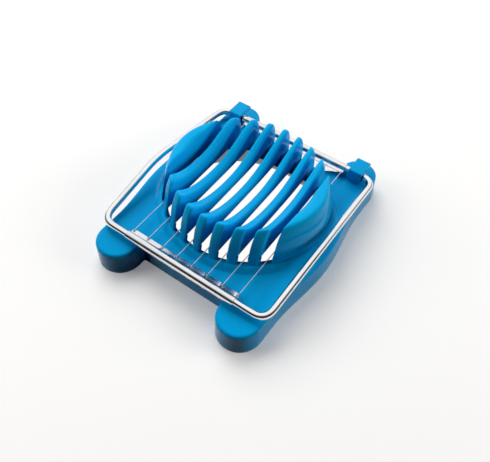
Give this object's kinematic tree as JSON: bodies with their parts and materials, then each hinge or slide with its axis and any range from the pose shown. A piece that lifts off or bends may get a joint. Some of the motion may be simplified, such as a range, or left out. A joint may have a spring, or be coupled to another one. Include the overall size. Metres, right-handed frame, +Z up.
{
  "type": "wire egg slicer",
  "caption": "Blue plastic egg slicer: a slotted oval cradle on a low four-footed base, with a hinged chrome rod frame strung with straight cutting wires that pass between the cradle's ribs.",
  "frame": {"origin": "on the floor, under the middle of the slicer", "axes": "+X along the front edge to the right, +Y from the lifting edge back to the hinge, +Z up"},
  "size_m": [0.0824, 0.1004, 0.0276],
  "materials": {
    "blue_plastic": "gloss",
    "chromed_rod": "polished",
    "sheet_steel": "bright",
    "steel_wire": "drawn"
  },
  "bodies": {
    "base": {"base_tray": "blue_plastic", "cradle_ring": "blue_plastic", "cradle_rib_1": "blue_plastic", "cradle_rib_2": "blue_plastic", "cradle_rib_3": "blue_plastic", "cradle_rib_4": "blue_plastic", "cradle_rib_5": "blue_plastic", "cradle_rib_6": "blue_plastic", "cradle_rib_7": "blue_plastic", "end_scoop_left": "blue_plastic", "end_scoop_right": "blue_plastic", "hinge_block_left": "blue_plastic", "hinge_block_right": "blue_plastic"},
    "cutting_frame": {"frame_rod": "chromed_rod", "front_wire_rail": "sheet_steel", "rear_wire_rail": "sheet_steel", "cutting_wire_1": "steel_wire", "cutting_wire_2": "steel_wire", "cutting_wire_3": "steel_wire", "cutting_wire_4": "steel_wire", "cutting_wire_5": "steel_wire", "cutting_wire_6": "steel_wire", "cutting_wire_7": "steel_wire", "cutting_wire_8": "steel_wire"}
  },
  "joints": [
    {"name": "frame_hinge", "type": "hinge", "parent": "base", "child": "cutting_frame", "pos_m": [0, 0.0389, 0.0132], "axis": [-1, 0, 0], "range_deg": [0, 105]}
  ]
}
